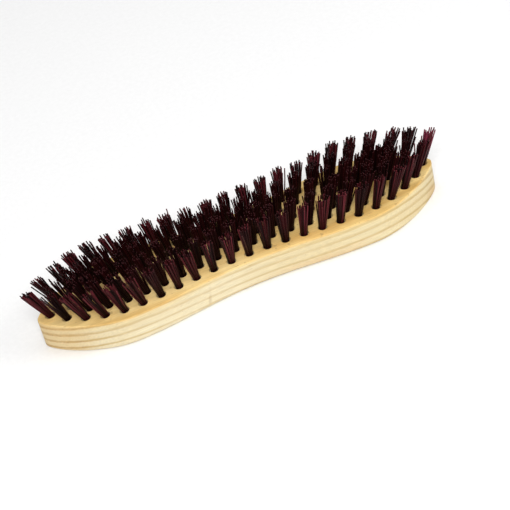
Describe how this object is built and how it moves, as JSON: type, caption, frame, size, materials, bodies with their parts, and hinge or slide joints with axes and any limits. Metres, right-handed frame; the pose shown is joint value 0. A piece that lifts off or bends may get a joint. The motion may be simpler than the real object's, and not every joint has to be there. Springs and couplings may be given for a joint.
{
  "type": "hand scrubbing brush",
  "caption": "Waisted wooden hand scrubbing brush with blunt ends, its flat face set with fanned tufts of stiff dark red bristle.",
  "frame": {"origin": "middle of the block's flat back face, which is the surface it lies on", "axes": "+X along the brush's length, +Y across it, +Z from the back towards the bristle tips"},
  "size_m": [0.2392, 0.0512, 0.037],
  "materials": {
    "pine": "bare sanded flat-sawn pine, matt, with darker latewood lines",
    "bristle": "stiff extruded synthetic filament, very dark cherry red, slight sheen",
    "staple_wire": "flat steel anchor wire, hidden at the bottom of each drilled hole"
  },
  "bodies": {
    "root": {"wood_block": "pine", "outer_tuft_01": "bristle", "outer_tuft_02": "bristle", "outer_tuft_03": "bristle", "outer_tuft_04": "bristle", "outer_tuft_05": "bristle", "outer_tuft_06": "bristle", "outer_tuft_07": "bristle", "outer_tuft_08": "bristle", "outer_tuft_09": "bristle", "outer_tuft_10": "bristle", "outer_tuft_11": "bristle", "outer_tuft_12": "bristle", "outer_tuft_13": "bristle", "outer_tuft_14": "bristle", "outer_tuft_15": "bristle", "outer_tuft_16": "bristle", "outer_tuft_17": "bristle", "outer_tuft_18": "bristle", "outer_tuft_19": "bristle", "outer_tuft_20": "bristle", "outer_tuft_21": "bristle", "outer_tuft_22": "bristle", "outer_tuft_23": "bristle", "outer_tuft_24": "bristle", "outer_tuft_25": "bristle", "outer_tuft_26": "bristle", "outer_tuft_27": "bristle", "outer_tuft_28": "bristle", "outer_tuft_29": "bristle", "outer_tuft_30": "bristle", "outer_tuft_31": "bristle", "outer_tuft_32": "bristle", "outer_tuft_33": "bristle", "outer_tuft_34": "bristle", "outer_tuft_35": "bristle", "outer_tuft_36": "bristle", "outer_tuft_37": "bristle", "outer_tuft_38": "bristle", "outer_tuft_39": "bristle", "outer_tuft_40": "bristle", "outer_tuft_41": "bristle", "outer_tuft_42": "bristle", "outer_tuft_43": "bristle", "outer_tuft_44": "bristle", "inner_tufts_01": "bristle", "inner_tufts_02": "bristle", "inner_tufts_03": "bristle", "inner_tufts_04": "bristle", "inner_tufts_05": "bristle", "inner_tufts_06": "bristle", "inner_tufts_07": "bristle", "inner_tufts_08": "bristle", "middle_tufts_1": "bristle", "middle_tufts_2": "bristle", "heart_tufts_1": "bristle", "heart_tufts_2": "bristle", "heart_tufts_3": "bristle", "heart_tufts_4": "bristle"}
  },
  "joints": []
}
